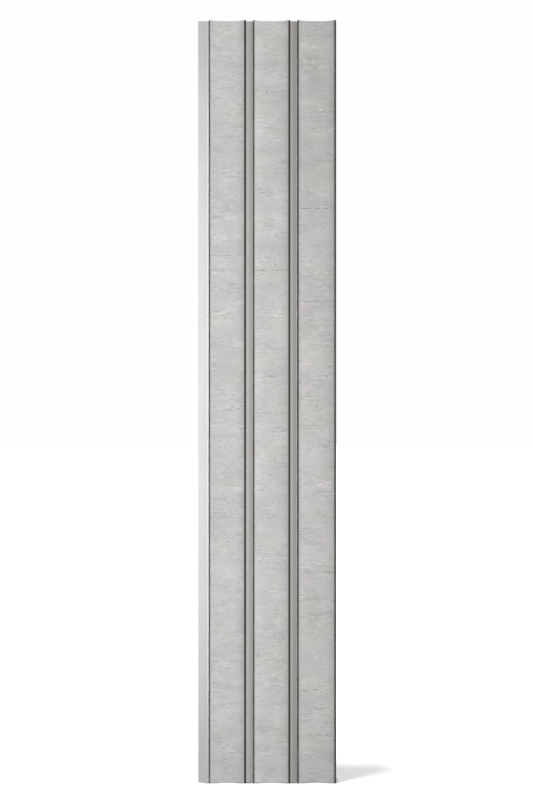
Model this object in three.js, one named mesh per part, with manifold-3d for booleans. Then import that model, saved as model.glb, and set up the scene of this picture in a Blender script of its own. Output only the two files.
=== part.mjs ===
// A tall fluted barrier panel. Three precast concrete staves stand side by side, gripped between
// aluminium rails, with a black rubber seal along both sides of every stave. Steel channels
// across the back tie the rails and the staves together and take the fixings.
// Millimetres, +Z up. The front faces -Y. The origin is on the floor at the middle of the footprint.
import * as THREE from "three";
import { mergeVertices } from "three/addons/utils/BufferGeometryUtils.js";
import Module from "manifold-3d";

const wasm = await Module();
wasm.setup();

// Whole panel
const PANEL_HEIGHT = 2700;
const SEAT = 0.3; // gap left between pieces that seat on each other

// Concrete staves
const STAVE_WIDTH = 120.5;
const LAST_STAVE_EXTRA = 6; // the last stave is wider, to lap the next panel
const STAVE_THICKNESS = 60;
const DISH_DEPTH = 10.5; // hollow of the front face below its long edges
const DISH_POWER = 4; // 2 is a plain parabola, and more is flatter in the middle
const DISH_STEPS = 20;
const ARRIS_RADIUS = 1.5;
const ARRIS_STEPS = 4;
const BACK_CHAMFER = 3;

// Rails between the staves, seen from the front as narrow metal bars
const BAR_WIDTH = 24.7;
const BAR_SETBACK = 12; // from the stave edges back to the bar
const BAR_WALL = 3;
const COVE_DEPTH = 1.4; // a groove rail's bar is a shallow cove, and the joint rail's is flat
const COVE_STEPS = 6;
const BEAD_WIDTH = 5; // rounded bead near the bar's right edge
const BEAD_RISE = 0.38;
const BEAD_LAND = 2.2; // flat left between the bead and that edge
const BEAD_STEPS = 4;
const BOX_WALL = 2.5;
const FRONT_WALL = 3.5; // front wall of the box
const SCREW_WALL = 8; // back wall of the box, tapped for the rail bolts
const SEAL_LEDGE = 2.2; // the bar stands out this far past the box, over the seal's foot
const FIN_DEPTH = 27; // how far back the gripping fins lie
const FIN_WALL = 3;
const FIN_REACH = 8; // length of fin inside the stave's kerf
const BACK_FLANGE_WALL = 4;
const BACK_FLANGE_LAP = 13;

// Joint to the next panel
const JOINT_FLANGE = 38.4; // visible width of the joint rail's flange
const JOINT_LAP = 13.3; // how much of the next panel's flange tucks in behind the last stave
const LIP_THICKNESS = 11; // front lip of the last stave, which covers the joint
const EDGE_RAIL_SETBACK = 20;
const EDGE_RAIL_WIDTH = 15.7;

// Rubber seals
const THIN_SEAL = 4.7;
const WIDE_SEAL = 6.6;
const SEAL_NOSE = 1; // how far the seal's nose lies behind the stave edge
const NOSE_STEPS = 6;
const BARB_WALL = 2.4;
const BARB_REACH = 4.6;
const BARB_DEPTH = 5.2; // how far back the edge seal's barb lies

// Steel wires cast along each stave
const WIRE_RADIUS = 3.5;
const WIRE_DEPTH = 40;
const WIRE_SPACING = 66;
const WIRE_RECESS = 3;

// Channels across the back
const CHANNEL_HEIGHT = 41;
const CHANNEL_DEPTH = 41;
const CHANNEL_WALL = 2.5;
const CHANNEL_LIP = 9.5; // height of the turned-in back face on each side of the slot
const CHANNEL_LIP_RETURN = 7;
const CHANNEL_INSET = 300; // centre of the outer channels from the panel's ends
const CHANNEL_GAP = 4; // between the ends of two panels' channels

// Fixings
const STAVE_BOLT_RADIUS = 6;
const STAVE_BOLT_REACH = 24; // length of bolt inside the socket
const STAVE_HEAD_RADIUS = 10.9;
const STAVE_HEAD_DEPTH = 7.5;
const RAIL_BOLT_RADIUS = 3;
const RAIL_BOLT_REACH = 18; // length of bolt past the channel's web
const RAIL_HEAD_RADIUS = 6;
const RAIL_HEAD_DEPTH = 4.5;
const HEAD_FLANGE = 1.6; // thickness of the washer face under each head
const HEAD_FLANGE_EXTRA = 2; // how far that washer face stands out past the hexagon
const HEXAGON_SIDES = 6;
const HOLE_CLEARANCE = 0.6;
const SOCKET_WALL = 4;
const SOCKET_LENGTH = 32;
const SOCKET_COLLAR = 6; // how far the socket's collar stands out past its barrel
const ROUND_SIDES = 16;
const THIN_ROUND_SIDES = 10; // wires and bolt shanks
const OVERSHOOT = 1; // how far a cut runs past the face that it enters
const WELD = 1e-4; // vertices closer than this are one

// Worked out from the sizes above
const BACK_FLANGE_FRONT = STAVE_THICKNESS + SEAT;
const RAIL_BACK = BACK_FLANGE_FRONT + BACK_FLANGE_WALL;
const CHANNEL_FRONT = RAIL_BACK + SEAT;
const PANEL_DEPTH = CHANNEL_FRONT + CHANNEL_DEPTH;
const FRONT_Y = -PANEL_DEPTH / 2;
const BAR_BACK = BAR_SETBACK + BAR_WALL;
const FIN_BACK = FIN_DEPTH + FIN_WALL;
const KERF_FRONT = FIN_DEPTH - SEAT;
const KERF_BACK = FIN_BACK + SEAT;
const KERF_REACH = FIN_REACH + SEAT;
const JOINT_REBATE = JOINT_LAP + SEAT;
const LAST_STAVE_WIDTH = STAVE_WIDTH + LAST_STAVE_EXTRA;
const BOX_WIDTH = BAR_WIDTH - 2 * SEAL_LEDGE;
const LEFT_EDGE_TO_STAVE = JOINT_FLANGE + THIN_SEAL;
const GROOVE_WIDTH = WIDE_SEAL + BAR_WIDTH + THIN_SEAL;
const STAVE_PITCH = STAVE_WIDTH + GROOVE_WIDTH;
const PANEL_WIDTH = LEFT_EDGE_TO_STAVE + 2 * STAVE_PITCH + LAST_STAVE_WIDTH + WIDE_SEAL;
const LEFT_EDGE = -PANEL_WIDTH / 2;
const RIGHT_EDGE = PANEL_WIDTH / 2;

const FINISH = {
  concrete: { color: 0xc5c3c2, roughness: 0.9, metalness: 0 },
  aluminium: { color: 0xc4c4c2, roughness: 0.38, metalness: 0.9 },
  rubber: { color: 0x1e1d1c, roughness: 0.7, metalness: 0 },
  wire: { color: 0x8a8a88, roughness: 0.45, metalness: 1 },
  galvanised: { color: 0xaeb2b5, roughness: 0.5, metalness: 0.9 },
  zinc: { color: 0xb9bcc0, roughness: 0.35, metalness: 1 },
};

function material(finish) {
  return new THREE.MeshStandardMaterial(FINISH[finish]);
}

// A named mesh, placed by the x, depth behind the stave edges and z given.
function piece(name, geometry, finish, x = 0, depth = 0, z = 0) {
  const mesh = new THREE.Mesh(geometry, material(finish));
  mesh.name = name;
  mesh.position.set(x, FRONT_Y + depth, z);
  return mesh;
}

function solid(geometry) {
  const bare = geometry.clone();
  bare.deleteAttribute("normal");
  bare.deleteAttribute("uv");
  const merged = mergeVertices(bare, WELD);
  return new wasm.Manifold(
    new wasm.Mesh({
      numProp: 3,
      vertProperties: merged.attributes.position.array,
      triVerts: new Uint32Array(merged.index.array),
    }),
  );
}

function geometryOf(manifold) {
  const mesh = manifold.getMesh();
  const geometry = new THREE.BufferGeometry();
  geometry.setAttribute("position", new THREE.BufferAttribute(mesh.vertProperties, 3));
  geometry.setIndex(new THREE.BufferAttribute(mesh.triVerts, 1));
  geometry.computeVertexNormals();
  return geometry;
}

// A cylinder along Y from one depth to another.
function rod(radius, from, to, x = 0, z = 0, sides = ROUND_SIDES) {
  const geometry = new THREE.CylinderGeometry(radius, radius, to - from, sides);
  return geometry.translate(x, (from + to) / 2, z);
}

// A cylinder along Z between two heights.
function upright(radius, from, to, x = 0, depth = 0) {
  const geometry = new THREE.CylinderGeometry(radius, radius, to - from, THIN_ROUND_SIDES);
  return geometry.rotateX(Math.PI / 2).translate(x, depth, (from + to) / 2);
}

function drilled(geometry, holes) {
  let body = solid(geometry);
  for (const hole of holes) body = body.subtract(solid(hole));
  return geometryOf(body);
}

function shapeOf(points) {
  return new THREE.Shape(points.map(([x, y]) => new THREE.Vector2(x, y)));
}

function extruded(shape, length = PANEL_HEIGHT) {
  return new THREE.ExtrudeGeometry(shape, { depth: length, bevelEnabled: false });
}

// Points along a round corner, angles in quarter turns from +x.
function corner(x, y, radius, fromQuarter, toQuarter, steps) {
  return Array.from({ length: steps + 1 }, (_, i) => {
    const angle = ((fromQuarter + ((toQuarter - fromQuarter) * i) / steps) * Math.PI) / 2;
    return [x + radius * Math.cos(angle), y + radius * Math.sin(angle)];
  });
}

// ---- Concrete staves ----

function dish(width) {
  const half = width / 2 - ARRIS_RADIUS;
  return Array.from({ length: DISH_STEPS - 1 }, (_, i) => {
    const across = -1 + (2 * (i + 1)) / DISH_STEPS;
    return [half * across, DISH_DEPTH * (1 - Math.abs(across) ** DISH_POWER)];
  });
}

// Cross-section of a stave, x from its middle and y as depth. Each long side has a kerf for a
// rail's fin. The last stave is rebated behind its right lip, and its lip has a kerf for a barb.
function staveShape(width, rebated) {
  const side = width / 2;
  const inner = side - (rebated ? JOINT_REBATE : 0);
  const lip = [
    [side, BARB_DEPTH - SEAT],
    [side - BARB_REACH - SEAT, BARB_DEPTH - SEAT],
    [side - BARB_REACH - SEAT, BARB_DEPTH + BARB_WALL + SEAT],
    [side, BARB_DEPTH + BARB_WALL + SEAT],
    [side, LIP_THICKNESS],
    [inner, LIP_THICKNESS],
  ];
  return shapeOf([
    ...corner(ARRIS_RADIUS - side, ARRIS_RADIUS, ARRIS_RADIUS, 2, 3, ARRIS_STEPS),
    ...dish(width),
    ...corner(side - ARRIS_RADIUS, ARRIS_RADIUS, ARRIS_RADIUS, 3, 4, ARRIS_STEPS),
    ...(rebated ? lip : []),
    [inner, KERF_FRONT],
    [inner - KERF_REACH, KERF_FRONT],
    [inner - KERF_REACH, KERF_BACK],
    [inner, KERF_BACK],
    [inner, STAVE_THICKNESS - BACK_CHAMFER],
    [inner - BACK_CHAMFER, STAVE_THICKNESS],
    [BACK_CHAMFER - side, STAVE_THICKNESS],
    [-side, STAVE_THICKNESS - BACK_CHAMFER],
    [-side, KERF_BACK],
    [KERF_REACH - side, KERF_BACK],
    [KERF_REACH - side, KERF_FRONT],
    [-side, KERF_FRONT],
  ]);
}

function wirePlaces() {
  return [-WIRE_SPACING / 2, WIRE_SPACING / 2];
}

function staveGeometry(width, rebated) {
  const socketHole = STAVE_BOLT_RADIUS + SOCKET_WALL + 2 * SEAT;
  const bottom = STAVE_THICKNESS - SOCKET_LENGTH - SEAT;
  const wireHole = WIRE_RADIUS + SEAT;
  return drilled(extruded(staveShape(width, rebated)), [
    ...wirePlaces().map((x) => upright(wireHole, -OVERSHOOT, PANEL_HEIGHT + OVERSHOOT, x, WIRE_DEPTH)),
    ...channelLevels().map(([, z]) => rod(socketHole, bottom, STAVE_THICKNESS + OVERSHOOT, 0, z)),
  ]);
}

function channelLevels() {
  return [
    ["lower", CHANNEL_INSET],
    ["middle", PANEL_HEIGHT / 2],
    ["upper", PANEL_HEIGHT - CHANNEL_INSET],
  ];
}

const firstStave = LEFT_EDGE + LEFT_EDGE_TO_STAVE + STAVE_WIDTH / 2;
const lastSide = RIGHT_EDGE - WIDE_SEAL;
const STAVES = [
  { name: "left", x: firstStave, width: STAVE_WIDTH, rebated: false },
  { name: "middle", x: firstStave + STAVE_PITCH, width: STAVE_WIDTH, rebated: false },
  { name: "right", x: lastSide - LAST_STAVE_WIDTH / 2, width: LAST_STAVE_WIDTH, rebated: true },
];

// ---- Aluminium rails ----

// Front face of a bar from left to right: a cove that may be flat, a rounded bead and a land.
function barFace(left, right, front, cove) {
  const coveEnd = right - BEAD_LAND - BEAD_WIDTH;
  const steps = cove > 0 ? COVE_STEPS : 1;
  const points = Array.from({ length: steps + 1 }, (_, i) => {
    const along = i / steps;
    const sink = cove * Math.sin(Math.PI * along);
    return [left + (coveEnd - left) * along, front + sink];
  });
  for (let i = 1; i <= BEAD_STEPS; i++) {
    const along = i / BEAD_STEPS;
    const rise = BEAD_RISE * Math.sin(Math.PI * along);
    points.push([coveEnd + BEAD_WIDTH * along, front - rise]);
  }
  points.push([right, front]);
  return points;
}

// Outline of a rail: an optional front bar, a box, fins that grip the staves on each side
// where the rail has them, and a back flange that laps behind the staves.
function railShape({ bar, cove, box, front, fins, flange }) {
  const [boxLeft, boxRight] = box;
  const rightSide = [];
  const leftSide = [];
  if (bar) {
    rightSide.push(...barFace(bar[0], bar[1], front, cove));
    rightSide.push([bar[1], front + BAR_WALL]);
    rightSide.push([boxRight, front + BAR_WALL]);
    leftSide.push([boxLeft, front + BAR_WALL]);
    leftSide.push([bar[0], front + BAR_WALL]);
  } else {
    rightSide.push([boxLeft, front], [boxRight, front]);
  }
  if (fins[1] > boxRight) {
    rightSide.push([boxRight, FIN_DEPTH], [fins[1], FIN_DEPTH]);
    rightSide.push([fins[1], FIN_BACK], [boxRight, FIN_BACK]);
  }
  if (flange[1] > boxRight) {
    rightSide.push([boxRight, BACK_FLANGE_FRONT], [flange[1], BACK_FLANGE_FRONT]);
  }
  rightSide.push([flange[1], RAIL_BACK], [flange[0], RAIL_BACK]);
  if (fins[0] < boxLeft) {
    leftSide.unshift([fins[0], FIN_DEPTH], [boxLeft, FIN_DEPTH]);
    leftSide.unshift([boxLeft, FIN_BACK], [fins[0], FIN_BACK]);
  }
  if (flange[0] < boxLeft) {
    leftSide.unshift([flange[0], BACK_FLANGE_FRONT], [boxLeft, BACK_FLANGE_FRONT]);
  }
  return shapeOf([...rightSide, ...leftSide]);
}

// The rail's box is hollow from end to end, with a thick back wall for the bolts.
function railGeometry(section) {
  const [left, right] = section.box;
  const middle = (left + right) / 2;
  const hollowFront = section.front + FRONT_WALL;
  const hollowBack = RAIL_BACK - SCREW_WALL;
  const width = right - left - 2 * BOX_WALL;
  const length = PANEL_HEIGHT + 2 * OVERSHOOT;
  const hollow = new THREE.BoxGeometry(width, hollowBack - hollowFront, length);
  hollow.translate(middle, (hollowFront + hollowBack) / 2, PANEL_HEIGHT / 2);
  const tapping = RAIL_BOLT_RADIUS + SEAT;
  return drilled(extruded(railShape(section)), [
    hollow,
    ...channelLevels().map(([, z]) =>
      rod(tapping, hollowBack - OVERSHOOT, RAIL_BACK + OVERSHOOT, middle, z),
    ),
  ]);
}

// The groove rail's x is from the middle of its bar, the outer rails' from the panel's side.
function railSections() {
  const half = BAR_WIDTH / 2;
  const box = [SEAL_LEDGE - half, half - SEAL_LEDGE];
  const jointBoxRight = JOINT_FLANGE - SEAL_LEDGE;
  const edgeBoxLeft = -WIDE_SEAL - JOINT_REBATE + SEAT;
  return {
    groove: {
      bar: [-half, half],
      cove: COVE_DEPTH,
      box,
      front: BAR_SETBACK,
      fins: [-half - WIDE_SEAL - FIN_REACH, half + THIN_SEAL + FIN_REACH],
      flange: [-half - WIDE_SEAL - BACK_FLANGE_LAP, half + THIN_SEAL + BACK_FLANGE_LAP],
    },
    joint: {
      bar: [0, JOINT_FLANGE],
      cove: 0,
      box: [jointBoxRight - BOX_WIDTH, jointBoxRight],
      front: BAR_SETBACK,
      fins: [jointBoxRight - BOX_WIDTH, LEFT_EDGE_TO_STAVE + FIN_REACH],
      flange: [jointBoxRight - BOX_WIDTH, LEFT_EDGE_TO_STAVE + BACK_FLANGE_LAP],
    },
    edge: {
      box: [edgeBoxLeft, edgeBoxLeft + EDGE_RAIL_WIDTH],
      front: EDGE_RAIL_SETBACK,
      fins: [edgeBoxLeft - SEAT - FIN_REACH, edgeBoxLeft + EDGE_RAIL_WIDTH],
      flange: [edgeBoxLeft - BACK_FLANGE_LAP, edgeBoxLeft + EDGE_RAIL_WIDTH],
    },
  };
}

const SECTIONS = railSections();
const firstGroove = LEFT_EDGE + LEFT_EDGE_TO_STAVE + STAVE_WIDTH + WIDE_SEAL + BAR_WIDTH / 2;
const RAILS = [
  { name: "joint_rail_left", section: SECTIONS.joint, x: LEFT_EDGE },
  { name: "groove_rail_left", section: SECTIONS.groove, x: firstGroove },
  { name: "groove_rail_right", section: SECTIONS.groove, x: firstGroove + STAVE_PITCH },
  { name: "edge_rail_right", section: SECTIONS.edge, x: RIGHT_EDGE },
];

function boltPlace(rail) {
  return rail.x + (rail.section.box[0] + rail.section.box[1]) / 2;
}

// ---- Rubber seals ----

// A seal stands between a stave and a bar. Its nose shows, and its foot is held behind the
// bar's overhang. footSide is 1 where the bar is on the seal's right and -1 where it is left.
function sealShape(width, footSide) {
  const radius = width / 2 - SEAT;
  const footLeft = footSide < 0 ? SEAT - SEAL_LEDGE : SEAT;
  const footRight = footSide > 0 ? width - SEAT + SEAL_LEDGE : width - SEAT;
  const footFront = BAR_BACK + SEAT;
  const footBack = FIN_DEPTH - SEAT;
  const points = corner(width / 2, SEAL_NOSE + radius, radius, 2, 4, NOSE_STEPS);
  if (footSide > 0) points.push([width - SEAT, footFront], [footRight, footFront]);
  points.push([footRight, footBack], [footLeft, footBack]);
  if (footSide < 0) points.push([footLeft, footFront], [SEAT, footFront]);
  return shapeOf(points);
}

// The edge seal clips into the kerf in the last stave's lip, and the next panel's flange
// closes against its back.
function edgeSealShape() {
  const radius = (WIDE_SEAL - SEAT) / 2;
  return shapeOf([
    ...corner(SEAT + radius, SEAL_NOSE + radius, radius, 2, 4, NOSE_STEPS),
    [WIDE_SEAL, LIP_THICKNESS],
    [SEAT, LIP_THICKNESS],
    [SEAT, BARB_DEPTH + BARB_WALL],
    [-BARB_REACH, BARB_DEPTH + BARB_WALL],
    [-BARB_REACH, BARB_DEPTH],
    [SEAT, BARB_DEPTH],
  ]);
}

function sealPieces() {
  return STAVES.flatMap(({ name, x, width, rebated }) => {
    const left = x - width / 2 - THIN_SEAL;
    const right = x + width / 2;
    const wide = rebated ? edgeSealShape() : sealShape(WIDE_SEAL, 1);
    const wideName = rebated ? "edge_seal" : "wide_seal";
    return [
      piece(`stave_${name}_thin_seal`, extruded(sealShape(THIN_SEAL, -1)), "rubber", left),
      piece(`stave_${name}_${wideName}`, extruded(wide), "rubber", right),
    ];
  });
}

// ---- Wires ----

function wirePieces() {
  return STAVES.flatMap(({ name, x }) =>
    wirePlaces().map((offset) => {
      const side = offset < 0 ? "left" : "right";
      const wire = upright(WIRE_RADIUS, WIRE_RECESS, PANEL_HEIGHT - WIRE_RECESS);
      return piece(`stave_${name}_wire_${side}`, wire, "wire", x + offset, WIRE_DEPTH);
    }),
  );
}

// ---- Channels across the back ----

// Cross-section with y as depth behind the channel's front face and z from its mid-height.
function channelShape() {
  const half = CHANNEL_HEIGHT / 2;
  const slot = half - CHANNEL_LIP;
  const returnFront = CHANNEL_DEPTH - CHANNEL_LIP_RETURN;
  const upper = [
    [CHANNEL_DEPTH, half],
    [CHANNEL_DEPTH, slot],
    [returnFront, slot],
    [returnFront, slot + CHANNEL_WALL],
    [CHANNEL_DEPTH - CHANNEL_WALL, slot + CHANNEL_WALL],
    [CHANNEL_DEPTH - CHANNEL_WALL, half - CHANNEL_WALL],
    [CHANNEL_WALL, half - CHANNEL_WALL],
  ];
  const lower = upper.map(([y, z]) => [y, -z]).reverse();
  return shapeOf([[0, half], ...upper, ...lower, [0, -half]]);
}

// Panels stand at a pitch of their width less the lap of the joint, and the channels fill it.
const CHANNEL_LEFT = LEFT_EDGE + SECTIONS.joint.box[0];
const CHANNEL_LENGTH = PANEL_WIDTH - JOINT_LAP - CHANNEL_GAP;

function channelGeometry() {
  const along = new THREE.Matrix4().makeBasis(
    new THREE.Vector3(0, 1, 0),
    new THREE.Vector3(0, 0, 1),
    new THREE.Vector3(1, 0, 0),
  );
  const body = extruded(channelShape(), CHANNEL_LENGTH).applyMatrix4(along);
  body.translate(CHANNEL_LEFT, 0, 0);
  const through = [-OVERSHOOT, CHANNEL_WALL + OVERSHOOT];
  return drilled(body, [
    ...STAVES.map(({ x }) => rod(STAVE_BOLT_RADIUS + HOLE_CLEARANCE, ...through, x)),
    ...RAILS.map((rail) => rod(RAIL_BOLT_RADIUS + HOLE_CLEARANCE, ...through, boltPlace(rail))),
  ]);
}

// ---- Bolts and sockets ----

// A hexagon bolt along Y with a washer face under its head. Depth 0 is the face it bears on.
function boltGeometry(shankRadius, reach, headRadius, headDepth) {
  const hexagon = rod(headRadius, HEAD_FLANGE / 2, headDepth, 0, 0, HEXAGON_SIDES);
  const washer = rod(headRadius + HEAD_FLANGE_EXTRA, 0, HEAD_FLANGE);
  const shank = rod(shankRadius, -reach, HEAD_FLANGE / 2, 0, 0, THIN_ROUND_SIDES);
  return geometryOf(solid(washer).add(solid(hexagon)).add(solid(shank)));
}

// A blind threaded socket cast into the stave's back. Its collar fills the space between the
// stave and the channel.
function socketGeometry() {
  const bore = STAVE_BOLT_RADIUS + SEAT;
  const barrel = bore + SOCKET_WALL;
  const collar = barrel + SOCKET_COLLAR;
  const collarFront = SOCKET_LENGTH + SEAT;
  const back = SOCKET_LENGTH + CHANNEL_FRONT - STAVE_THICKNESS - SEAT;
  const profile = [
    [0, 0],
    [barrel, 0],
    [barrel, collarFront],
    [collar, collarFront],
    [collar, back],
    [bore, back],
    [bore, SOCKET_WALL],
    [0, SOCKET_WALL],
  ];
  return new THREE.LatheGeometry(
    profile.map(([radius, y]) => new THREE.Vector2(radius, y)),
    ROUND_SIDES,
  );
}

function fixingsAt(level, z) {
  const bearing = CHANNEL_FRONT + CHANNEL_WALL + SEAT;
  const staveReach = bearing - STAVE_THICKNESS + STAVE_BOLT_REACH;
  const railReach = CHANNEL_WALL + RAIL_BOLT_REACH;
  const pieces = STAVES.flatMap(({ name, x }) => [
    piece(`socket_${name}_${level}`, socketGeometry(), "zinc", x, STAVE_THICKNESS - SOCKET_LENGTH, z),
    piece(
      `stave_bolt_${name}_${level}`,
      boltGeometry(STAVE_BOLT_RADIUS, staveReach, STAVE_HEAD_RADIUS, STAVE_HEAD_DEPTH),
      "zinc",
      x,
      bearing,
      z,
    ),
  ]);
  for (const rail of RAILS) {
    const bolt = boltGeometry(RAIL_BOLT_RADIUS, railReach, RAIL_HEAD_RADIUS, RAIL_HEAD_DEPTH);
    pieces.push(piece(`${rail.name}_bolt_${level}`, bolt, "zinc", boltPlace(rail), bearing, z));
  }
  return pieces;
}

// ---- Assembly ----

function grouped(...pieces) {
  const group = new THREE.Group();
  group.add(...pieces);
  return group;
}

const staves = grouped(
  ...STAVES.map(({ name, x, width, rebated }) =>
    piece(`stave_${name}`, staveGeometry(width, rebated), "concrete", x),
  ),
  ...wirePieces(),
);
const rails = grouped(
  ...RAILS.map(({ name, section, x }) => piece(name, railGeometry(section), "aluminium", x)),
  ...sealPieces(),
);
const backFrame = grouped(
  ...channelLevels().flatMap(([level, z]) => [
    piece(`cross_channel_${level}`, channelGeometry(), "galvanised", 0, CHANNEL_FRONT, z),
    ...fixingsAt(level, z),
  ]),
);

export default grouped(staves, rails, backFrame);
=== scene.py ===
# %% [markdown]
# # A fluted concrete barrier panel
# The panel is three hollow-faced concrete staves, held side by side between aluminium rails, with
# a black rubber seal down both sides of every stave and steel channels across the back. The solid
# model of it is loaded first and stays as it is. Each step below makes a finer piece that stands
# in the place of one or more of its solids, and gives it a finish.

# %% Load the frame
import math

import bmesh
import bpy
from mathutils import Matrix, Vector


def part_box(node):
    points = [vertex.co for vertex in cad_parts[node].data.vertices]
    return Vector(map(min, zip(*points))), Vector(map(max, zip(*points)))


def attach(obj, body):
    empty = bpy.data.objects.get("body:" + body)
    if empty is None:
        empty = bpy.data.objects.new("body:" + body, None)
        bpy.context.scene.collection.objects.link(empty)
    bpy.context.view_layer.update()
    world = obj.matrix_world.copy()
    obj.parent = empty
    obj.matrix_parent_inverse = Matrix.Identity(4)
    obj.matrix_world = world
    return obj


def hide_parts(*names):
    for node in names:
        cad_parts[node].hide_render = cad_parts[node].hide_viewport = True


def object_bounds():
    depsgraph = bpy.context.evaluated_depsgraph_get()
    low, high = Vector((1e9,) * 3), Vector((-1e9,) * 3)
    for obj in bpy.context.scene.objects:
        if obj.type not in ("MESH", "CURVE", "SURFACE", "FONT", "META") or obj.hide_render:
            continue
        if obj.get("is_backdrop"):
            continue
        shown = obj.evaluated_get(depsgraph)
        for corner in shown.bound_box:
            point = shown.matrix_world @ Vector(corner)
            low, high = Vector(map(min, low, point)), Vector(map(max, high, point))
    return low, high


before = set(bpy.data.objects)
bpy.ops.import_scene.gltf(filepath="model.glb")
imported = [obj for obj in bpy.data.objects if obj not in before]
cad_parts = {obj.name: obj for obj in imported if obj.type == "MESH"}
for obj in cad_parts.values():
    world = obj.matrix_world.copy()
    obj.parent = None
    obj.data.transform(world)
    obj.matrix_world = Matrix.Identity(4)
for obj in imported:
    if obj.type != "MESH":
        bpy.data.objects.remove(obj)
cad_low, cad_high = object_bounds()
MM = 0.001
HEIGHT = cad_high.z - cad_low.z
FRONT = cad_low.y  # the plane of the stave edges, from which every depth below is measured
STAVE_NAMES = ("left", "middle", "right")
LEVELS = ("lower", "middle", "upper")
scene = bpy.context.scene


def middle_of(node):
    low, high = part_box(node)
    return (low + high) / 2


def add_object(name, data):
    made = bpy.data.objects.new(name, data)
    scene.collection.objects.link(made)
    return made


print(f"panel {cad_high.x - cad_low.x:.4f} m wide, {HEIGHT:.3f} m high, {len(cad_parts)} nodes")

# %% [markdown]
# ## The camera
# The panel is looked at straight on, from about the middle of its height, so its long edges stay
# upright and both of its sides stay hidden. The lens follows from how far away the camera stands
# and how much of the panel's height it takes in.

# %% Camera
CAMERA_DISTANCE = 4.0
CAMERA_HEIGHT = 1.356
CAMERA_SIDE = -2.1 * MM
VIEW_HEIGHT = 2.829
SENSOR = 36.0
camera = add_object("camera", bpy.data.cameras.new("camera"))
camera.data.sensor_width = SENSOR
camera.data.lens = SENSOR * CAMERA_DISTANCE / VIEW_HEIGHT
camera.location = (CAMERA_SIDE, FRONT - CAMERA_DISTANCE, CAMERA_HEIGHT)
camera.rotation_euler = (math.radians(90), 0, 0)
scene.camera = camera
scene.view_settings.view_transform = "Standard"
print(f"lens {camera.data.lens:.1f} mm")

# %% [markdown]
# ## A short way to write nodes
# Finishes, the sky and the shapes below are all trees of nodes, and most of their nodes are sums
# and noises. This helper adds a node, fills its inputs and gives back its output, so that a tree
# reads like a formula. Maths and noise nodes are the same in a material and in a geometry tree,
# which lets a stain and the dent under it come from one function.


# %% Node helper
class Wiring:
    def __init__(self, tree):
        self.tree = tree

    def put(self, socket, value):
        if isinstance(value, bpy.types.NodeSocket):
            self.tree.links.new(value, socket)
        else:
            socket.default_value = value

    def node(self, kind, settings=None, **inputs):
        made = self.tree.nodes.new(kind)
        for name, value in (settings or {}).items():
            setattr(made, name, value)
        for name, value in inputs.items():
            self.put(made.inputs[name.replace("_", " ")], value)
        return made

    def filled(self, kind, settings, values):
        made = self.node(kind, settings)
        for socket, value in zip(made.inputs, values):
            self.put(socket, value)
        return made

    def math(self, operation, *values):
        return self.filled("ShaderNodeMath", {"operation": operation}, values).outputs[0]

    def vector(self, operation, *values):
        return self.filled("ShaderNodeVectorMath", {"operation": operation}, values).outputs[0]

    def product(self, first, *others):
        for other in others:
            first = self.math("MULTIPLY", first, other)
        return first

    def total(self, first, *others):
        for other in others:
            first = self.math("ADD", first, other)
        return first

    def ramp(self, value, low, high, to_low=0.0, to_high=1.0):
        """An eased step from to_low to to_high as value goes from low to high."""
        settings = {"interpolation_type": "SMOOTHSTEP"}
        return self.filled("ShaderNodeMapRange", settings, (value, low, high, to_low, to_high)).outputs[0]

    def around_one(self, value, middle, strength):
        """A factor near 1 that swings by strength as value swings about middle."""
        return self.math("MULTIPLY_ADD", self.math("SUBTRACT", value, middle), strength, 1.0)

    def scaled(self, place, lump, shift):
        stretched = self.vector("DIVIDE", place, lump)
        return self.vector("ADD", stretched, (shift, 1.7 * shift, 2.3 * shift))

    def noise(self, place, lump, detail=2.0, shift=0.0):
        """Noise whose lumps are about as large as lump, in metres along x, y and z."""
        made = self.node("ShaderNodeTexNoise", Vector=self.scaled(place, lump, shift), Scale=1.0)
        self.put(made.inputs["Detail"], detail)
        return made.outputs[0]

    def cells(self, place, lump, shift=0.0):
        """Distance to the middle of the cell, and the cell's own random number."""
        made = self.node("ShaderNodeTexVoronoi", Vector=self.scaled(place, lump, shift), Scale=1.0)
        own = self.node("ShaderNodeSeparateXYZ", Vector=made.outputs["Color"]).outputs[0]
        return made.outputs["Distance"], own

    def spots(self, place, spacing, radius, share, shift=0.0):
        """1 inside scattered spots: a share of the cells hold one, of up to that radius."""
        distance, own = self.cells(place, (spacing, spacing, spacing), shift)
        reach = self.ramp(own, 1.0 - share, 1.0, 0.0, radius / spacing)
        edge = self.math("SUBTRACT", reach, distance)
        return self.ramp(edge, 0.0, 0.5 * radius / spacing)

    def side_of(self, place):
        return self.node("ShaderNodeSeparateXYZ", Vector=place).outputs[0]

    def height_of(self, place):
        return self.node("ShaderNodeSeparateXYZ", Vector=place).outputs[2]


def empty_nodes(owner):
    """Switches a world or a material over to nodes, and starts with none."""
    owner.use_nodes = True
    owner.node_tree.nodes.clear()
    return Wiring(owner.node_tree)


print("node helper ready")

# %% [markdown]
# ## Light
# A pale dome surrounds the panel. It is brightest a little above the horizon and falls off above
# and below, which is what the satin metal mirrors from top to bottom. A large soft lamp on the
# right gives each hollow face its turn from light to dark, and another behind the panel keeps
# its back from falling into the dark. A steep, harder lamp drops the short shadow beside the
# foot. That lamp lights only the floor, and the soft ones light only the panel, so each can be
# set without upsetting the others.

# %% Dome
DOME_STOPS = [  # sine of the height above the horizon, and the brightness there
    (-1.0, 0.24),
    (-0.42, 0.24),
    (-0.3, 0.44),
    (-0.2, 0.79),
    (-0.1, 0.85),
    (0.05, 0.86),
    (0.14, 0.96),
    (0.2, 0.8),
    (0.32, 0.46),
    (0.45, 0.36),
    (1.0, 0.5),
]
BACKGROUND = 0.99


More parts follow.
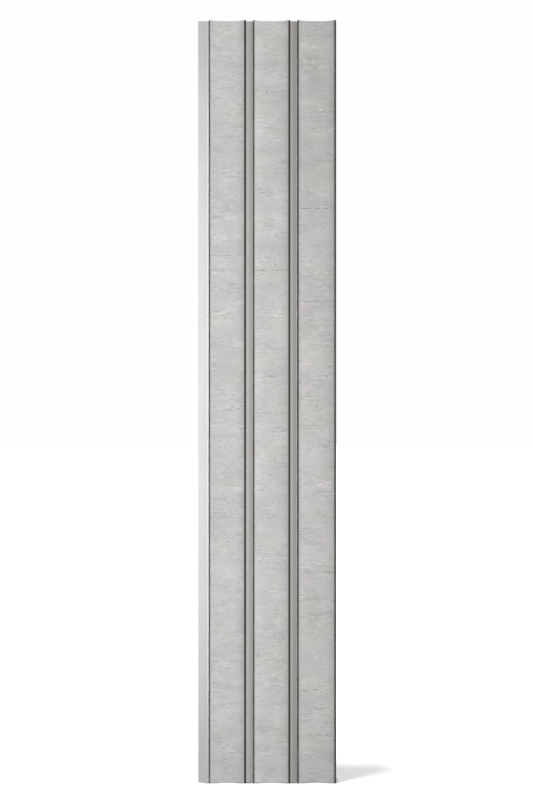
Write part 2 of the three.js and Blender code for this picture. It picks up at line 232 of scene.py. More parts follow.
def make_dome():
    world = bpy.data.worlds.new("dome")
    wiring = empty_nodes(world)
    direction = wiring.node("ShaderNodeTexCoord").outputs["Generated"]
    height = wiring.height_of(direction)
    share = wiring.math("MULTIPLY_ADD", height, 0.5, 0.5)
    ramp = wiring.node("ShaderNodeValToRGB", Fac=share)
    ramp.color_ramp.interpolation = "EASE"
    stops = ramp.color_ramp.elements
    while len(stops) < len(DOME_STOPS):
        stops.new(0.5)
    for stop, (sine, level) in zip(stops, DOME_STOPS):
        stop.position = 0.5 + 0.5 * sine
        stop.color = (level, level, level, 1.0)
    glow = wiring.node("ShaderNodeBackground", Color=ramp.outputs[0])
    plain = wiring.node("ShaderNodeBackground", Color=(BACKGROUND, BACKGROUND, BACKGROUND, 1.0))
    seen = wiring.node("ShaderNodeLightPath").outputs["Is Camera Ray"]
    mixed = wiring.filled("ShaderNodeMixShader", {}, (seen, glow.outputs[0], plain.outputs[0]))
    wiring.node("ShaderNodeOutputWorld", Surface=mixed.outputs[0])
    return world


scene.world = make_dome()
print(f"dome of {len(DOME_STOPS)} stops")

# %% [markdown]
# ## The floor
# The floor is plain and nearly white. What stands on a floor keeps some light from the strip
# right beside it, and that soft dark line is what makes it look as if it rests there. Ambient
# occlusion measures how much of the sky each point of the floor sees, and shades it by that.

# %% Floor
FLOOR_SIDE = 60.0
CONTACT_REACH = 28 * MM
FLOOR_GLOW = (0.44, 0.43, 0.445, 1.0)
FLOOR_COLOUR = (0.6, 0.6, 0.61, 1.0)


def make_floor():
    mesh = bpy.data.meshes.new("floor")
    half = FLOOR_SIDE / 2
    corners = [(-half, -half, 0), (half, -half, 0), (half, half, 0), (-half, half, 0)]
    mesh.from_pydata(corners, [], [(0, 1, 2, 3)])
    floor = add_object("floor", mesh)
    material = bpy.data.materials.new("floor")
    wiring = empty_nodes(material)
    glow = wiring.node("ShaderNodeEmission", Color=FLOOR_GLOW).outputs[0]
    paint = wiring.node("ShaderNodeBsdfDiffuse", Color=FLOOR_COLOUR).outputs[0]
    both = wiring.filled("ShaderNodeAddShader", {}, (glow, paint)).outputs[0]
    open_sky = wiring.node("ShaderNodeAmbientOcclusion", Distance=CONTACT_REACH).outputs["AO"]
    dark = wiring.node("ShaderNodeEmission", Strength=0.0).outputs[0]
    shaded = wiring.filled("ShaderNodeMixShader", {}, (wiring.ramp(open_sky, 0.2, 0.95), dark, both))
    wiring.node("ShaderNodeOutputMaterial", Surface=shaded.outputs[0])
    mesh.materials.append(material)
    for kind in ("diffuse", "glossy", "transmission", "shadow"):
        setattr(floor, f"visible_{kind}", False)
    floor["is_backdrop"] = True
    return floor


floor = make_floor()
print(f"floor {FLOOR_SIDE:.0f} m wide")

# %% Lamps
KEY_SIZE = (1.5, 4.6)
KEY_DISTANCE = 3.4
KEY_TURN = math.radians(24)  # to the right of straight in front
KEY_POWER = 91.0
FILL_SIZE = (2.0, 3.0)
FILL_DISTANCE = 4.0
FILL_TURN = math.radians(165)
FILL_POWER = 60.0
SHADOW_RISE = math.radians(84.1)
SHADOW_TURN = math.radians(-62)
SHADOW_STRENGTH = 3.0
SHADOW_BLUR = math.radians(3.6)


def lamp(name, kind, direction, distance, target):
    made = add_object(name, bpy.data.lights.new(name, kind))
    made.location = target + direction * distance
    made.rotation_euler = direction.to_track_quat("Z", "Y").to_euler()
    return made


def from_front(turn, rise):
    """The direction that far round to the right of straight in front, and that far up."""
    level = math.cos(rise)
    return Vector((math.sin(turn) * level, -math.cos(turn) * level, math.sin(rise)))


def light_only(source, receiver, state):
    """The lamp lights only the receiver, or with EXCLUDE, all but the receiver."""
    group = bpy.data.collections.new(source.name)
    group.objects.link(receiver)
    group.collection_objects[0].light_linking.link_state = state
    source.light_linking.receiver_collection = group


middle = (cad_low + cad_high) / 2
softboxes = (
    ("key", KEY_TURN, KEY_DISTANCE, KEY_SIZE, KEY_POWER),
    ("fill", FILL_TURN, FILL_DISTANCE, FILL_SIZE, FILL_POWER),
)
for name, turn, distance, size, power in softboxes:
    softbox = lamp(name, "AREA", from_front(turn, 0), distance, middle)
    softbox.data.shape = "RECTANGLE"
    softbox.data.size, softbox.data.size_y = size
    softbox.data.energy = power
    light_only(softbox, floor, "EXCLUDE")
steep = lamp("steep", "SUN", from_front(SHADOW_TURN, SHADOW_RISE), 1.0, middle)
steep.data.energy = SHADOW_STRENGTH
steep.data.angle = SHADOW_BLUR
light_only(steep, floor, "INCLUDE")
print(f"{len(softboxes)} soft lamps, steep lamp {math.degrees(SHADOW_RISE):.0f} degrees up")

# %% [markdown]
# ## Concrete
# The staves are cast on their backs and struck off with a long board that is worked from side to
# side. It leaves fine level streaks, a few torn lines where the board paused, and small pores.
# The tone wanders slowly, with faint bands, and is a little darker towards the foot. Pale chips and grains
# gather in loose clusters, and crowd along a stave's left edge, where their crowding is a painted
# highlight. Each of these is its own noise at its own size. On top of them the left edge is painted lighter
# as a painted highlight, the strip beside it, the right side and the right edge are painted darker as
# painted shade, and the right stave's colour is darker as painted shade. The torn lines and the streaks are
# functions, because the shape of the stave uses them again to sink the same places.

# %% Marks left by the striking board
STREAK = (40 * MM, 60 * MM, 6.5 * MM)
LINE_HALF_HEIGHT = 2.3 * MM
LINE_WANDER = 5 * MM
LINE_WAVE = (70 * MM, 1.0, 0.4)
LINE_BREAK = (13 * MM, 1.0, 40 * MM)
TORN_LINES = {  # heights of the torn lines up each stave, and how strong they are
    "left": [(0.43, 0.5), (1.23, 0.3), (1.646, 0.5), (1.816, 0.35), (1.869, 0.5), (2.29, 0.4)],
    "middle": [(0.28, 0.3), (0.81, 0.35), (1.31, 0.6), (1.816, 1.0), (2.16, 0.3), (2.45, 0.35)],
    "right": [(0.168, 0.7), (0.327, 0.9), (0.744, 0.8), (1.12, 0.4), (1.706, 0.9), (2.035, 1.0)],
}


def streaks(wiring, place):
    long_streaks = wiring.noise(place, STREAK, 1.0)
    short_streaks = wiring.noise(place, [0.45 * side for side in STREAK], 1.0, 7.0)
    return wiring.math("MULTIPLY_ADD", short_streaks, 0.5, wiring.math("MULTIPLY", long_streaks, 0.5))


def torn_lines(wiring, place, lines):
    """Near 1 along each torn line, which wanders up and down and breaks off here and there."""
    wander = wiring.noise(place, LINE_WAVE, 1.0, 3.0)
    height = wiring.math("MULTIPLY_ADD", wander, LINE_WANDER, wiring.height_of(place))
    unbroken = wiring.ramp(wiring.noise(place, LINE_BREAK, 2.0, 5.0), 0.42, 0.58)
    marks = 0.0
    for level, strength in lines:
        away = wiring.math("ABSOLUTE", wiring.math("SUBTRACT", height, level + LINE_WANDER / 2))
        mark = wiring.ramp(away, 0.0, LINE_HALF_HEIGHT, strength, 0.0)
        marks = wiring.math("ADD", marks, mark)
    return wiring.product(marks, unbroken)


print(f"{sum(len(lines) for lines in TORN_LINES.values())} torn lines")


# %% Material helpers
def new_material(name, **constants):
    material = bpy.data.materials.new(name)
    wiring = empty_nodes(material)
    surface = wiring.node("ShaderNodeBsdfPrincipled", None, **constants)
    wiring.node("ShaderNodeOutputMaterial", Surface=surface.outputs[0])
    place = wiring.node("ShaderNodeTexCoord").outputs["Object"]
    return material, wiring, surface.inputs, place


def bumped(wiring, inputs, height, distance, strength=1.0):
    bump = wiring.node("ShaderNodeBump", Strength=strength, Distance=distance, Height=height)
    wiring.put(inputs["Normal"], bump.outputs[0])


print("material helpers ready")

# %% Chips and flecks
# The chips crowding a stave's left edge paint a highlight there.
CHIP_HIGHLIGHT_REACH = 26 * MM  # how far the chips reach from a stave's left edge
GRAIN = (7 * MM, 7 * MM, 4 * MM)
CHIP = (7 * MM, 7 * MM, 4.5 * MM)
CHIP_LIMIT = 0.72  # noise above this is a chip
CHIP_CROWDING = 0.14  # how much lower that limit is where chips crowd
FLECK = (15 * MM, 40 * MM, 5.5 * MM)


def chips_and_grains(wiring, place, left_edge):
    """1 on the pale chips, which gather in loose clusters, and crowd the left edge, where their crowding is
    a painted highlight.
    """
    # Crowding of chips at the left edge, a painted highlight.
    beside = wiring.ramp(wiring.side_of(place), left_edge, left_edge + CHIP_HIGHLIGHT_REACH, 0.5, 0.0)
    clustered = wiring.ramp(wiring.noise(place, (0.06, 0.06, 0.045), 2.0, 8.0), 0.5, 0.68)
    wanted = wiring.math("MAXIMUM", beside, clustered)
    lumps = wiring.noise(place, CHIP, 2.0, 6.0)
    limit = wiring.math("MULTIPLY_ADD", wanted, -CHIP_CROWDING, CHIP_LIMIT)
    return wiring.ramp(wiring.math("SUBTRACT", lumps, limit), 0.0, 0.06)


def flecks(wiring, place):
    """Short level dashes left by single grains: above 0 on dark ones, below 0 on pale ones."""
    lumps = wiring.noise(place, FLECK, 1.0, 21.0)
    dark = wiring.ramp(lumps, 0.61, 0.7)
    pale = wiring.ramp(lumps, 0.3, 0.39, 1.0, 0.0)
    crowded = wiring.ramp(wiring.noise(place, (0.09, 0.09, 0.035), 2.0, 15.0), 0.44, 0.62, 0.1, 1.2)
    return wiring.product(wiring.math("MULTIPLY_ADD", pale, -0.7, dark), crowded)


print(f"chips reach {CHIP_HIGHLIGHT_REACH / MM:.0f} mm in from a left edge")

# %% Tone of a stave
DARKER_FOOT_HEIGHT = 0.4
FOOT_DARKENING = 0.09
# Widths and strengths of the painted highlight and painted shade across a stave.
EDGE_HIGHLIGHT_WIDTH = 5 * MM
RIGHT_SHADE_WIDTH = 5 * MM
RIGHT_EDGE_SHADE = 0.78
SWING = {  # how far each pattern takes the tone up, or down where it is below 0
    "slow": 0.28,
    "cloudy": 0.38,
    "worked": 0.5,
    "grain": 0.16,
    "flecks": -0.16,
    "pores": -0.3,
    "holes": -0.4,
    "chips": 0.26,
    "torn": -0.55,
}


def painted_light_across(wiring, side, low, high, painted_tones):
    """Painted light across a stave: a painted highlight on its left edge, painted shade in the strip beside
    it, and painted shade deepening to its right side and on its right edge.
    """
    edge_highlight, strip, shade_strip_width, right_side = painted_tones
    return wiring.product(
        wiring.ramp(side, low, low + EDGE_HIGHLIGHT_WIDTH, edge_highlight, 1.0),
        wiring.ramp(side, low, low + shade_strip_width, strip, 1.0),
        wiring.ramp(side, low, high, 1.0, right_side),
        wiring.ramp(side, high - RIGHT_SHADE_WIDTH, high, 1.0, RIGHT_EDGE_SHADE),
    )


print(f"{len(SWING)} patterns in the concrete")

# %% Concrete finish
TINT = (0.022, 0.032, -0.032)  # how the colour leans towards yellow where it drifts
RELIEF_DEPTH = 0.35 * MM


def cast_concrete(stave, colour, painted_tones):
    """One stave's concrete, in its own colour and with its own change of tone across."""
    material, wiring, inputs, place = new_material(f"concrete_{stave}", Roughness=0.88)
    low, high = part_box(f"stave_{stave}")
    streaky = streaks(wiring, place)
    patches = wiring.ramp(wiring.noise(place, (0.13, 0.13, 0.06), 2.0, 12.0), 0.42, 0.66, 0.35, 1.9)
    worked = wiring.product(wiring.math("SUBTRACT", streaky, 0.5), patches)
    grain = wiring.noise(place, GRAIN, 3.0, 4.0)
    pores = wiring.spots(place, 9 * MM, 1.6 * MM, 0.35, 1.0)
    holes = wiring.spots(place, 30 * MM, 4 * MM, 0.5, 14.0)
    chips = chips_and_grains(wiring, place, low.x)
    patterns = {  # each pattern, and the value of it that leaves the tone alone
        "slow": (wiring.noise(place, (0.5, 0.5, 0.34), 2.0), 0.5),
        "cloudy": (wiring.noise(place, (0.1, 0.1, 0.05), 3.0, 2.0), 0.5),
        "worked": (worked, 0.0),
        "grain": (grain, 0.5),
        "flecks": (flecks(wiring, place), 0.0),
        "pores": (pores, 0.0),
        "holes": (holes, 0.0),
        "chips": (chips, 0.0),
        "torn": (torn_lines(wiring, place, TORN_LINES[stave]), 0.0),
    }
    factors = [wiring.around_one(*pattern, SWING[kind]) for kind, pattern in patterns.items()]
    # The tone is a little darker towards the foot.
    darker_foot = wiring.ramp(wiring.height_of(place), 0.0, DARKER_FOOT_HEIGHT, 1.0 - FOOT_DARKENING, 1.0)
    across = painted_light_across(wiring, wiring.side_of(place), low.x, high.x, painted_tones)
    shade = wiring.product(*factors, darker_foot, across)
    drift = wiring.noise(place, (0.2, 0.2, 0.12), 1.0, 9.0)
    lean = wiring.math("SUBTRACT", drift, 0.5)
    tinted = wiring.vector("MULTIPLY_ADD", lean, TINT, colour)
    wiring.put(inputs["Base Color"], wiring.vector("MULTIPLY", tinted, shade))
    relief = wiring.total(
        wiring.product(streaky, 0.9),
        wiring.product(grain, 0.7),
        wiring.product(wiring.total(pores, holes), -1.2),
        wiring.product(chips, 0.3),
    )
    bumped(wiring, inputs, relief, RELIEF_DEPTH)
    return material


# Each stave's colour. Then the painted highlight at its left edge, the painted shade of the strip beside
# the edge, the width of the strip, and the painted shade that its right side reaches.
CONCRETE_FINISH = {
    "left": cast_concrete("left", (0.548, 0.535, 0.529), (1.16, 0.92, 36 * MM, 1.02)),
    "middle": cast_concrete("middle", (0.54, 0.527, 0.518), (1.02, 0.99, 20 * MM, 0.955)),
    # The right stave's colour is set darker than the others as painted shade.
    "right": cast_concrete("right", (0.483, 0.47, 0.46), (0.97, 0.91, 17 * MM, 0.96)),
}
print(f"{len(CONCRETE_FINISH)} concrete finishes")

# %% [markdown]
# ## Metals and rubber
# The rails are drawn through a die, so their satin skin has faint lines along its length, which show mostly
# in the roughness and only a little in the colour. The two groove rails are dull, the right one darker than
# the left as painted shade, and a brighter, fully metallic, smoother strip along each bead's crest is a
# painted highlight. Hot-dip galvanising freezes into grey feathery cells of different brightness. Zinc
# plate on the bolts is smoother and a little blue. Rubber is nearly black, dull, and holds some pale dust,
# and the thin seals are a paler rubber as painted light.

# %% Aluminium finish
DRAWN_LINE = (0.5 * MM, 0.5 * MM, 300 * MM)
BAR_WIDTH = 24.7 * MM
BEAD_WIDTH = 5 * MM
BEAD_LAND = 2.2 * MM
BEAD_HIGHLIGHT_REACH = 1.9 * MM
BRIGHT = (0.86, 0.86, 0.855)
BRIGHT_ROUGHNESS = 0.3


def painted_bead_highlight(wiring, place, node):
    """1 on the crest of a groove rail's bead, where a brighter, smoother metal is painted in as the bead's
    highlight.
    """
    bead = middle_of(f"{node}_bolt_lower").x + BAR_WIDTH / 2 - BEAD_HIGHLIGHT_REACH
    away = wiring.math("ABSOLUTE", wiring.math("SUBTRACT", wiring.side_of(place), bead))
    return wiring.ramp(away, BEAD_HIGHLIGHT_REACH / 3, BEAD_HIGHLIGHT_REACH, 0.75, 0.0)


def drawn_aluminium(name, metallic, colour, roughness, node=None):
    material, wiring, inputs, place = new_material(name, Metallic=metallic, Anisotropic=0.3)
    if node:
        # A brighter base colour, fully metallic and smoother, along the bead's crest: a painted highlight.
        crest_highlight = painted_bead_highlight(wiring, place, node)
        more = [bright - dull for bright, dull in zip(BRIGHT, colour)]
        colour = wiring.vector("MULTIPLY_ADD", crest_highlight, more, colour)
        wiring.put(inputs["Metallic"], wiring.math("MULTIPLY_ADD", crest_highlight, 1.0 - metallic, metallic))
        roughness = wiring.math("MULTIPLY_ADD", crest_highlight, BRIGHT_ROUGHNESS - roughness, roughness)
    drawn = wiring.noise(place, DRAWN_LINE, 2.0)
    cloudy = wiring.noise(place, (30 * MM, 30 * MM, 160 * MM), 2.0, 3.0)
    shade = wiring.product(wiring.around_one(cloudy, 0.5, 0.08), wiring.around_one(drawn, 0.5, 0.08))
    wiring.put(inputs["Base Color"], wiring.vector("MULTIPLY", colour, shade))
    rough = wiring.total(wiring.product(drawn, 0.12), wiring.product(cloudy, 0.08), -0.1, roughness)
    wiring.put(inputs["Roughness"], rough)
    bumped(wiring, inputs, drawn, 0.02 * MM, 0.5)
    return material


SATIN = drawn_aluminium("satin_aluminium", 1.0, BRIGHT, BRIGHT_ROUGHNESS)
# The right groove rail's colour is darker than the left one's as painted shade.
DULL = {"groove_rail_left": (0.47, 0.455, 0.436), "groove_rail_right": (0.37, 0.357, 0.34)}
DULL_METALLIC = 0.35
DULL_ROUGHNESS = 0.6
RAIL_FINISH = {"joint_rail_left": SATIN, "edge_rail_right": SATIN}
for node, colour in DULL.items():
    finish = drawn_aluminium(f"dull_{node}", DULL_METALLIC, colour, DULL_ROUGHNESS, node)
    RAIL_FINISH[node] = finish
print(f"finishes for {len(RAIL_FINISH)} rails")


# %% Steel finishes
def galvanised_steel():
    material, wiring, inputs, place = new_material("galvanised_steel", Metallic=0.85)
    curl = wiring.noise(place, (5 * MM,) * 3, 3.0)
    feathers = wiring.vector("MULTIPLY_ADD", curl, (4 * MM,) * 3, place)
    edge, cell = wiring.cells(feathers, (11 * MM,) * 3)
    small = wiring.cells(feathers, (4 * MM,) * 3, 4.0)[1]
    bloom = wiring.noise(place, (60 * MM,) * 3, 3.0, 6.0)
    shade = wiring.product(
        wiring.around_one(cell, 0.5, 0.3),
        wiring.around_one(small, 0.5, 0.14),
        wiring.around_one(bloom, 0.5, 0.3),
    )
    wiring.put(inputs["Base Color"], wiring.vector("MULTIPLY", (0.56, 0.575, 0.59), shade))
    rough = wiring.total(wiring.product(cell, 0.2), wiring.product(small, 0.1), 0.36)
    wiring.put(inputs["Roughness"], rough)
    bumped(wiring, inputs, wiring.total(edge, wiring.product(bloom, 0.5)), 0.08 * MM, 0.6)
    return material


def zinc_plate():
    material, wiring, inputs, place = new_material("zinc_plate", Metallic=1.0)
    film = wiring.noise(place, (9 * MM,) * 3, 2.0)
    scuffs = wiring.noise(place, (2 * MM, 2 * MM, 0.4 * MM), 3.0, 2.0)
    shade = wiring.product(wiring.around_one(film, 0.5, 0.2), wiring.around_one(scuffs, 0.5, 0.14))
    wiring.put(inputs["Base Color"], wiring.vector("MULTIPLY", (0.66, 0.69, 0.73), shade))
    rough = wiring.total(wiring.product(film, 0.2), wiring.product(scuffs, 0.1), 0.16)
    wiring.put(inputs["Roughness"], rough)
    bumped(wiring, inputs, scuffs, 0.03 * MM)
    return material


def drawn_wire():
    material, wiring, inputs, place = new_material("drawn_wire", Metallic=1.0)
    sawn = wiring.noise(place, (0.3 * MM, 6 * MM, 6 * MM), 2.0)
    rust = wiring.ramp(wiring.noise(place, (2.5 * MM,) * 3, 3.0, 5.0), 0.52, 0.68)
    colour = wiring.vector("MULTIPLY_ADD", rust, (-0.16, -0.25, -0.29), (0.42, 0.42, 0.42))
    wiring.put(inputs["Base Color"], wiring.vector("MULTIPLY", colour, wiring.around_one(sawn, 0.5, 0.5)))
    wiring.put(inputs["Roughness"], wiring.total(wiring.product(sawn, 0.2), wiring.product(rust, 0.4), 0.3))
    bumped(wiring, inputs, sawn, 0.05 * MM)
    return material


GALVANISED = galvanised_steel()
ZINC = zinc_plate()
WIRE = drawn_wire()
print("three steel finishes")


# %% Rubber finish
def seal_rubber(name, colour):
    material, wiring, inputs, place = new_material(name)
    dust = wiring.noise(place, (12 * MM, 12 * MM, 70 * MM), 4.0)
    pitted = wiring.noise(place, (0.8 * MM,) * 3, 2.0, 4.0)
    pale = wiring.ramp(dust, 0.42, 0.72, 1.0, 2.4)
    wiring.put(inputs["Base Color"], wiring.vector("MULTIPLY", colour, pale))
    wiring.put(inputs["Roughness"], wiring.total(wiring.product(dust, 0.3), 0.42))
    bumped(wiring, inputs, pitted, 0.06 * MM)
    return material


RUBBER = {
    # The thin seals get a paler rubber as painted light; the wide and edge seals keep the dark one.
    "thin": seal_rubber("painted_light_rubber", (0.068, 0.066, 0.063)),
    "wide": seal_rubber("plain_rubber", (0.014, 0.0135, 0.013)),
    "edge": seal_rubber("edge_rubber", (0.018, 0.0175, 0.017)),
}
print(f"{len(RUBBER)} rubber finishes")

# %% [markdown]
# ## Making and handing over a piece
# A finished piece is a plain mesh at the origin, with smooth shading wherever its faces meet at a low
# angle. It rides on the panel's one body and stands for its solids. Holes are cut with a boolean, by the
# same drills for every piece.

# %% Piece helpers
SMOOTH_BELOW = math.radians(14)
ROUND = 32


def bake(piece):
    """Turns a piece and its modifiers into a plain mesh."""
    piece.data.update()
    graph = bpy.context.evaluated_depsgraph_get()
    mesh = bpy.data.meshes.new_from_object(piece.evaluated_get(graph))
    mesh.name = piece.name
    piece.modifiers.clear()
    piece.data = mesh
    return piece


print(f"faces meeting below {math.degrees(SMOOTH_BELOW):.0f} degrees are shaded smooth")


# %% Holes
def rod_mesh(name, rods):
    """One mesh of plain rods, each (from point, to point, radius). They only cut holes."""
    built = bmesh.new()
    for start, end, radius in rods:
        axis = Vector(end) - Vector(start)
        turn = axis.to_track_quat("Z", "Y").to_matrix().to_4x4()
        turn.translation = (Vector(start) + Vector(end)) / 2
        bmesh.ops.create_cone(
            built,
            cap_ends=True,
            segments=ROUND,
            radius1=radius,
            radius2=radius,
            depth=axis.length,
            matrix=turn,
        )
    mesh = bpy.data.meshes.new(name)
    built.to_mesh(mesh)
    built.free()
    return add_object(name, mesh)


def hole(x, z, front, back, radius):
    """A rod for drilling a hole from front to back."""
    return (x, front, z), (x, back, z), radius


def drill(piece, rods):
    cutter = rod_mesh("drill", rods)
    modifier = piece.modifiers.new("drill", "BOOLEAN")
    modifier.operation = "DIFFERENCE"
    modifier.solver = "MANIFOLD"
    modifier.object = cutter
    bake(piece)
    bpy.data.objects.remove(cutter)


print("drills ready")


# %% Hand over
def hand_over(piece, slot, material, *nodes):
    piece.data.materials.clear()
    piece.data.materials.append(material)
    piece.data.shade_smooth()
    piece.data.set_sharp_from_angle(angle=SMOOTH_BELOW)
    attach(piece, "root")
    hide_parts(*nodes)
    piece.data.calc_loop_triangles()
    print(f"{piece.name}: {len(piece.data.loop_triangles)} triangles")


print("ready to hand pieces over")

# %% [markdown]
# ## Geometry trees
# Some pieces follow a rule: a stave's face is one formula over its whole height, and the fixings
# are one shape at many places. A geometry tree says such a rule once, with named sizes that can
# be changed in the modifier panel. Here the tree's result is turned into a plain mesh at once.


# %% Tree helpers
def new_tree(name, sizes):
    """An empty geometry tree with a named number input for each size, and one for a material."""
    tree = bpy.data.node_groups.new(name, "GeometryNodeTree")
    outside = tree.interface
    outside.new_socket("Geometry", in_out="INPUT", socket_type="NodeSocketGeometry")
    for label in sizes:
        outside.new_socket(label, in_out="INPUT", socket_type="NodeSocketFloat")
    outside.new_socket("Material", in_out="INPUT", socket_type="NodeSocketMaterial")
    outside.new_socket("Geometry", in_out="OUTPUT", socket_type="NodeSocketGeometry")
    wiring = Wiring(tree)
    given = wiring.node("NodeGroupInput").outputs
    return tree, wiring, given


def end_tree(wiring, geometry, given):
    real = wiring.node("GeometryNodeRealizeInstances", Geometry=geometry).outputs[0]
    done = wiring.node("GeometryNodeSetMaterial", Geometry=real, Material=given["Material"])
    wiring.node("NodeGroupOutput", Geometry=done.outputs[0])


def run_tree(piece, tree, sizes, material):
    modifier = piece.modifiers.new(tree.name, "NODES")
    modifier.node_group = tree
    inputs = [item for item in tree.interface.items_tree if item.in_out == "INPUT"]
    names = {item.name: item.identifier for item in inputs}
    for label, value in sizes.items():
        modifier[names[label]] = float(value)
    modifier[names["Material"]] = material
    return bake(piece)


print("tree helpers ready")


# %% Solids in a tree
def raised(wiring, mesh, height):
    rise = wiring.filled("ShaderNodeCombineXYZ", {}, (0.0, 0.0, height)).outputs[0]
    return wiring.node("GeometryNodeTransform", Geometry=mesh, Translation=rise).outputs[0]


def standing_cylinder(wiring, low, depth, radius, **sizes):
    """A cylinder of that depth, standing on height low."""
    sizes = {"Vertices": ROUND, "Radius": radius, "Depth": depth, **sizes}
    made = wiring.node("GeometryNodeMeshCylinder", None, **sizes).outputs["Mesh"]
    return raised(wiring, made, wiring.math("MULTIPLY_ADD", depth, 0.5, low))


def combined(wiring, operation, *solids):
    """Solids joined, or only where they overlap, or the first with the second cut out of it."""
    made = wiring.node("GeometryNodeMeshBoolean", {"operation": operation, "solver": "MANIFOLD"})
    slots = (0, 1) if operation == "DIFFERENCE" else (1,) * len(solids)
    for slot, solid in zip(slots, solids):
        wiring.tree.links.new(solid, made.inputs[slot])
    return made.outputs["Mesh"]


def repeated(wiring, shape, given, turn=(0.0, 0.0, 0.0)):
    """Ends a tree with a copy of the shape at every point of the mesh that it is given."""
    points = wiring.node("GeometryNodeMeshToPoints", Mesh=given["Geometry"]).outputs[0]
    sizes = {"Points": points, "Instance": shape, "Rotation": turn}
    copies = wiring.node("GeometryNodeInstanceOnPoints", None, **sizes)
    end_tree(wiring, copies.outputs[0], given)


def points_piece(name, places):
    mesh = bpy.data.meshes.new(name)
    mesh.from_pydata(places, [], [])
    return add_object(name, mesh)


BACK_FIRST = (math.radians(-90), 0.0, 0.0)  # turns a shape's top towards the back of the panel
print("helpers for repeated solids ready")

# %% [markdown]
# ## The staves' blank
# A stave starts as a plain bar with a flat front: its cross-section is copied up the height at
# close, even steps, with extra steps near both ends. The section has rounded front edges, a kerf
# in each side for the rail's fin, and a chamfered back. The last stave is cut back behind its
# right lip, where the next panel's flange tucks in. Points on the front carry the number 1 in
# an attribute called face, and points on the rounded edges carry one called arris.

# %% Stave sizes
ARRIS_RADIUS = 1.5 * MM
ARRIS_STEPS = 4
ACROSS_STEPS = 48
BACK_CHAMFER = 3 * MM
KERF = (26.7 * MM, 30.3 * MM)  # front and back of the kerf
KERF_REACH = 8.3 * MM
REBATE = 13.6 * MM
LIP = 11 * MM
LIP_KERF = (4.9 * MM, 7.9 * MM)
LIP_KERF_REACH = 4.9 * MM
RING_SPACING = 2.8 * MM
END_RINGS = (0.35 * MM, 0.8 * MM, 1.4 * MM)


def arc(x, y, radius, start, end, steps):
    """Points round a corner, angles in quarter turns from +x towards +y."""
    angles = [(start + (end - start) * i / steps) * math.pi / 2 for i in range(steps + 1)]
    return [(x + radius * math.cos(a), y + radius * math.sin(a)) for a in angles]


print(f"rings every {RING_SPACING / MM:.1f} mm")


# %% Stave section
def stave_section(width, rebated):
    """Outline points as (x from the middle, depth, face, arris)."""
    side = width / 2
    inner = side - (REBATE if rebated else 0)
    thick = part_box("stave_left")[1].y - FRONT
    flat = side - ARRIS_RADIUS
    edge = [math.sin(math.pi * i / ARRIS_STEPS) for i in range(ARRIS_STEPS + 1)]
    left_arc = arc(-flat, ARRIS_RADIUS, ARRIS_RADIUS, 2, 3, ARRIS_STEPS)
    right_arc = arc(flat, ARRIS_RADIUS, ARRIS_RADIUS, 3, 4, ARRIS_STEPS)
    across = [flat * (2 * i / ACROSS_STEPS - 1) for i in range(1, ACROSS_STEPS)]
    lip = [
        (side, LIP_KERF[0]),
        (side - LIP_KERF_REACH, LIP_KERF[0]),
        (side - LIP_KERF_REACH, LIP_KERF[1]),
        (side, LIP_KERF[1]),
        (side, LIP),
        (inner, LIP),
    ]
    rest = [
        *(lip if rebated else []),
        (inner, KERF[0]),
        (inner - KERF_REACH, KERF[0]),
        (inner - KERF_REACH, KERF[1]),
        (inner, KERF[1]),
        (inner, thick - BACK_CHAMFER),
        (inner - BACK_CHAMFER, thick),
        (BACK_CHAMFER - side, thick),
        (-side, thick - BACK_CHAMFER),
        (-side, KERF[1]),
        (KERF_REACH - side, KERF[1]),
        (KERF_REACH - side, KERF[0]),
        (-side, KERF[0]),
    ]
    return [
        *[(x, y, 0.0, bend) for (x, y), bend in zip(left_arc, edge)],
        *[(x, 0.0, 1.0, 0.0) for x in across],
        *[(x, y, 0.0, bend) for (x, y), bend in zip(right_arc, edge)],
        *[(x, y, 0.0, 0.0) for x, y in rest],
    ]


print("section of a stave ready")


# %% Stave blank
def ring_heights():
    count = round(HEIGHT / RING_SPACING)
    even = [HEIGHT * i / count for i in range(1, count)]
    ends = [0.0, *END_RINGS]
    return [*ends, *even, *[HEIGHT - end for end in reversed(ends)]]


def stave_blank(name, middle_x, width, rebated):
    section = stave_section(width, rebated)
    size = len(section)
    heights = ring_heights()
    points = [(middle_x + x, FRONT + y, z) for z in heights for x, y, _, _ in section]
    faces = [tuple(reversed(range(size)))]
    for ring in range(len(heights) - 1):
        low = ring * size
        for i in range(size):
            after = (i + 1) % size
            faces.append((low + i, low + after, low + size + after, low + size + i))
    top = (len(heights) - 1) * size
    faces.append(tuple(range(top, top + size)))
    mesh = bpy.data.meshes.new(name)
    mesh.from_pydata(points, [], faces)
    for place, label in ((2, "face"), (3, "arris")):
        values = [point[place] for point in section] * len(heights)
        mesh.attributes.new(label, "FLOAT", "POINT").data.foreach_set("value", values)
    return add_object(name, mesh)


print(f"{len(ring_heights())} rings up a stave")

# %% [markdown]
# ## Hollowing and working the face
# One tree turns the blank into a cast stave. It sinks the front into its hollow by a power
# curve, which is flatter in the middle than a circle would be, eases the front over at both
# ends, presses in the streaks and the torn lines, and knocks small nicks out of the edges. It
# only ever moves points inwards, so the stave keeps its size.

# %% Stave tree
STAVE_SIZES = {
    "Middle": 0.0,
    "Half flat": 0.0,
    "Hollow": 10.5 * MM,
    "Hollow power": 4.0,
    "End radius": 1.6 * MM,
    "Streak depth": 0.35 * MM,
    "Line depth": 0.7 * MM,
    "Nick depth": 1.5 * MM,
}
NICK = (30 * MM, 30 * MM, 7 * MM)


